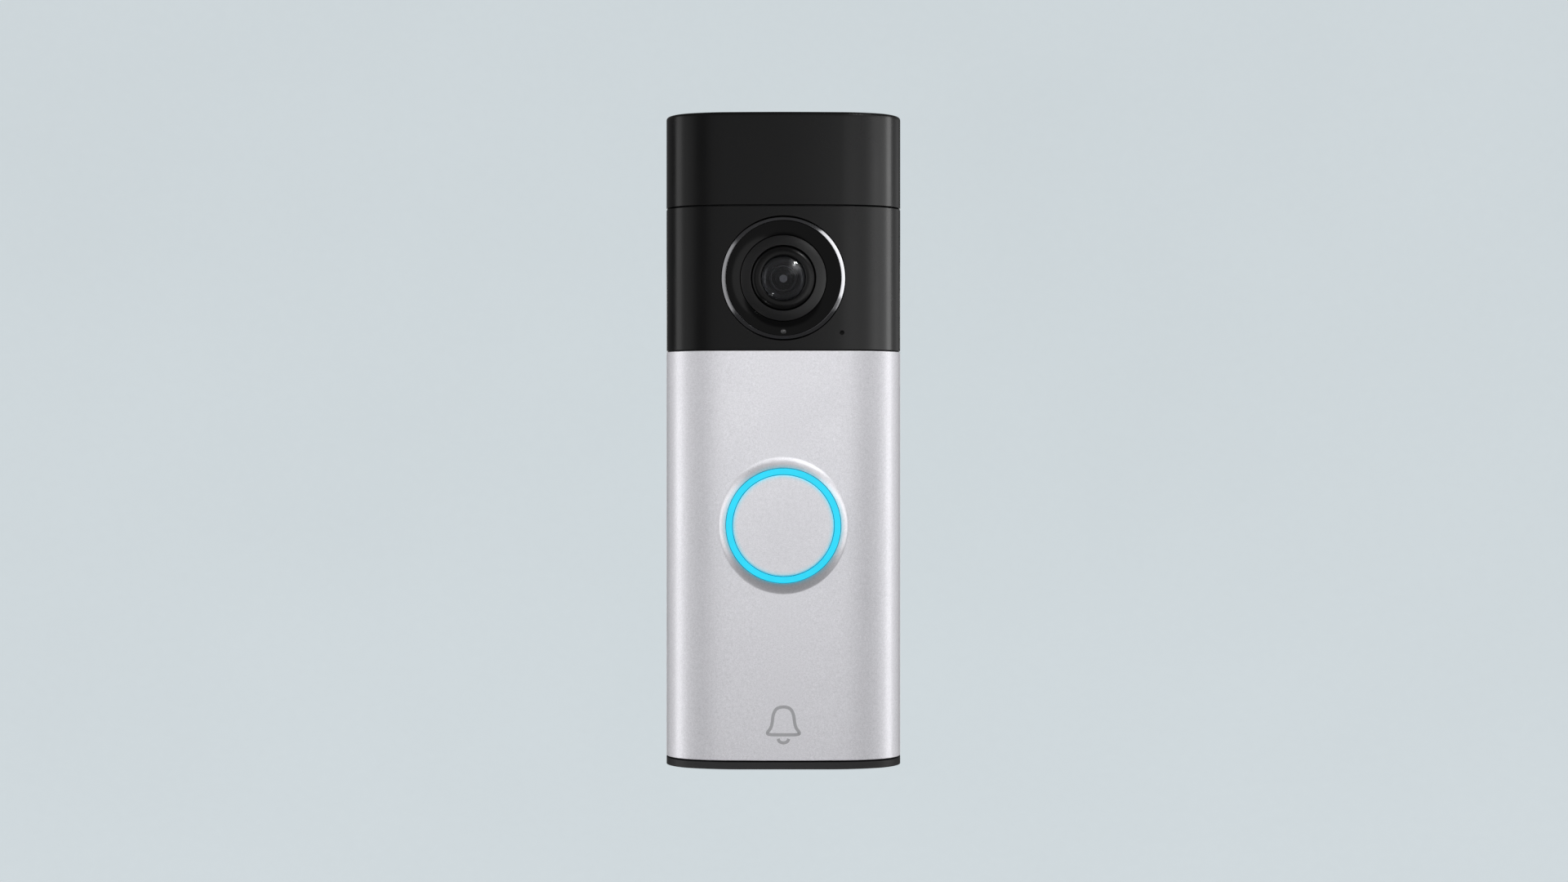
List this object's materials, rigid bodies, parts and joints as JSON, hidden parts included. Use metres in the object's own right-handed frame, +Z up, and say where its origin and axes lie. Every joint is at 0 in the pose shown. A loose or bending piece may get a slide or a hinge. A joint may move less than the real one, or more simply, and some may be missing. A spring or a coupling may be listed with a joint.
{
  "type": "video doorbell",
  "caption": "Slim upright wired video doorbell with a camera in its black upper half and a lit push button in a satin silver faceplate, hung on a wall bracket.",
  "frame": {"origin": "middle of the wall bracket's back face, which lies on the wall", "axes": "+X to the right of someone facing the doorbell, +Y into the wall, +Z up"},
  "size_m": [0.0472, 0.0264, 0.13],
  "materials": {
    "silver": "satin silver with a fine grain",
    "black_shell": "satin to gloss black",
    "case_black": "fine matt black",
    "gloss_black": "polished black, infrared clear",
    "dark_metal": "turned, bright edges",
    "glass": "coated lens glass",
    "light_guide": "diffusing, lit cyan",
    "rubber": "matt",
    "board_green": "solder mask",
    "chip_black": "moulded",
    "steel": "plated",
    "brass": "plain",
    "led_white": "moulded",
    "orange": "moulded"
  },
  "bodies": {
    "wall_bracket": {"wall_bracket": "case_black"},
    "doorbell": {"rear_case": "case_black", "front_frame": "case_black", "case_seal": "rubber", "top_cap": "black_shell", "camera_cover": "black_shell", "camera_bezel": "dark_metal", "camera_window": "gloss_black", "light_sensor_lens": "glass", "lens_hood": "black_shell", "front_lens": "glass", "lens_barrel": "case_black", "inner_lens": "glass", "image_sensor": "chip_black", "camera_board": "board_green", "camera_holder": "case_black", "infrared_board": "board_green", "motion_sensor": "steel", "motion_board": "board_green", "microphone_boot": "rubber", "microphone": "steel", "main_board": "board_green", "shield_can": "steel", "antenna_strip": "board_green", "backup_capacitor": "chip_black", "speaker_frame": "chip_black", "speaker_cone": "rubber", "speaker_magnet": "steel", "button_seal": "rubber", "led_board": "board_green", "switch_body": "chip_black", "setup_switch": "chip_black", "security_insert": "brass", "terminal_plate_1": "brass", "terminal_plate_2": "brass", "case_screw_1": "steel", "infrared_led_1": "led_white", "case_screw_2": "steel", "infrared_led_2": "led_white", "case_screw_3": "steel", "infrared_led_3": "led_white", "case_screw_4": "steel", "infrared_led_4": "led_white", "guide_led_1": "led_white", "guide_led_2": "led_white", "guide_led_3": "led_white", "guide_led_4": "led_white", "guide_led_5": "led_white", "guide_led_6": "led_white"},
    "button": {"button_cap": "silver", "light_guide": "light_guide"},
    "switch": {"switch_stem": "steel"},
    "setup": {"setup_button": "orange"},
    "faceplate": {"faceplate": "silver"},
    "security_washer": {"security_washer": "steel"},
    "security_screw": {"security_screw": "steel"},
    "clamp_1": {"clamp_washer_1": "steel"},
    "screw_1": {"terminal_screw_1": "brass"},
    "clamp_2": {"clamp_washer_2": "steel"},
    "screw_2": {"terminal_screw_2": "brass"}
  },
  "joints": [
    {"name": "lift_off", "type": "slide", "parent": "wall_bracket", "child": "doorbell", "axis": [0, 0, 1], "range_m": [0, 0.005]},
    {"name": "button_press", "type": "slide", "parent": "doorbell", "child": "button", "axis": [0, 1, 0], "range_m": [0, 0.0006], "stiffness_N_per_m": 900, "springref_m": -0.0006},
    {"name": "switch_press", "type": "slide", "parent": "doorbell", "child": "switch", "axis": [0, 1, 0], "range_m": [0, 0.0003]},
    {"name": "setup_press", "type": "slide", "parent": "doorbell", "child": "setup", "axis": [0, 1, 0], "range_m": [0, 0.0004], "stiffness_N_per_m": 700, "springref_m": -0.0004},
    {"name": "faceplate_pull", "type": "slide", "parent": "doorbell", "child": "faceplate", "axis": [0, -1, 0], "range_m": [0, 0.02]},
    {"name": "security_drop", "type": "slide", "parent": "doorbell", "child": "security_washer", "axis": [0, 0, -1], "range_m": [0, 0.0009]},
    {"name": "security_turn", "type": "hinge", "parent": "security_washer", "child": "security_screw", "pos_m": [0, -0.0085, -0.0649], "axis": [0, 0, -1], "range_deg": [0, 720.5]},
    {"name": "clamp_back_1", "type": "slide", "parent": "doorbell", "child": "clamp_1", "axis": [0, 1, 0], "range_m": [0, 0.0012]},
    {"name": "screw_turn_1", "type": "hinge", "parent": "clamp_1", "child": "screw_1", "pos_m": [-0.0052, -0.0028, 0.025], "axis": [0, -1, 0], "range_deg": [0, 720.5]},
    {"name": "clamp_back_2", "type": "slide", "parent": "doorbell", "child": "clamp_2", "axis": [0, 1, 0], "range_m": [0, 0.0012]},
    {"name": "screw_turn_2", "type": "hinge", "parent": "clamp_2", "child": "screw_2", "pos_m": [0.0052, -0.0028, 0.025], "axis": [0, -1, 0], "range_deg": [0, 720.5]}
  ],
  "couplings": [
    {"joint": "switch_press", "follows": "button_press", "ratio": 0.5},
    {"joint": "security_turn", "follows": "security_drop", "rad_per_m": 13963},
    {"joint": "screw_turn_1", "follows": "clamp_back_1", "rad_per_m": 10472},
    {"joint": "screw_turn_2", "follows": "clamp_back_2", "rad_per_m": 10472}
  ]
}
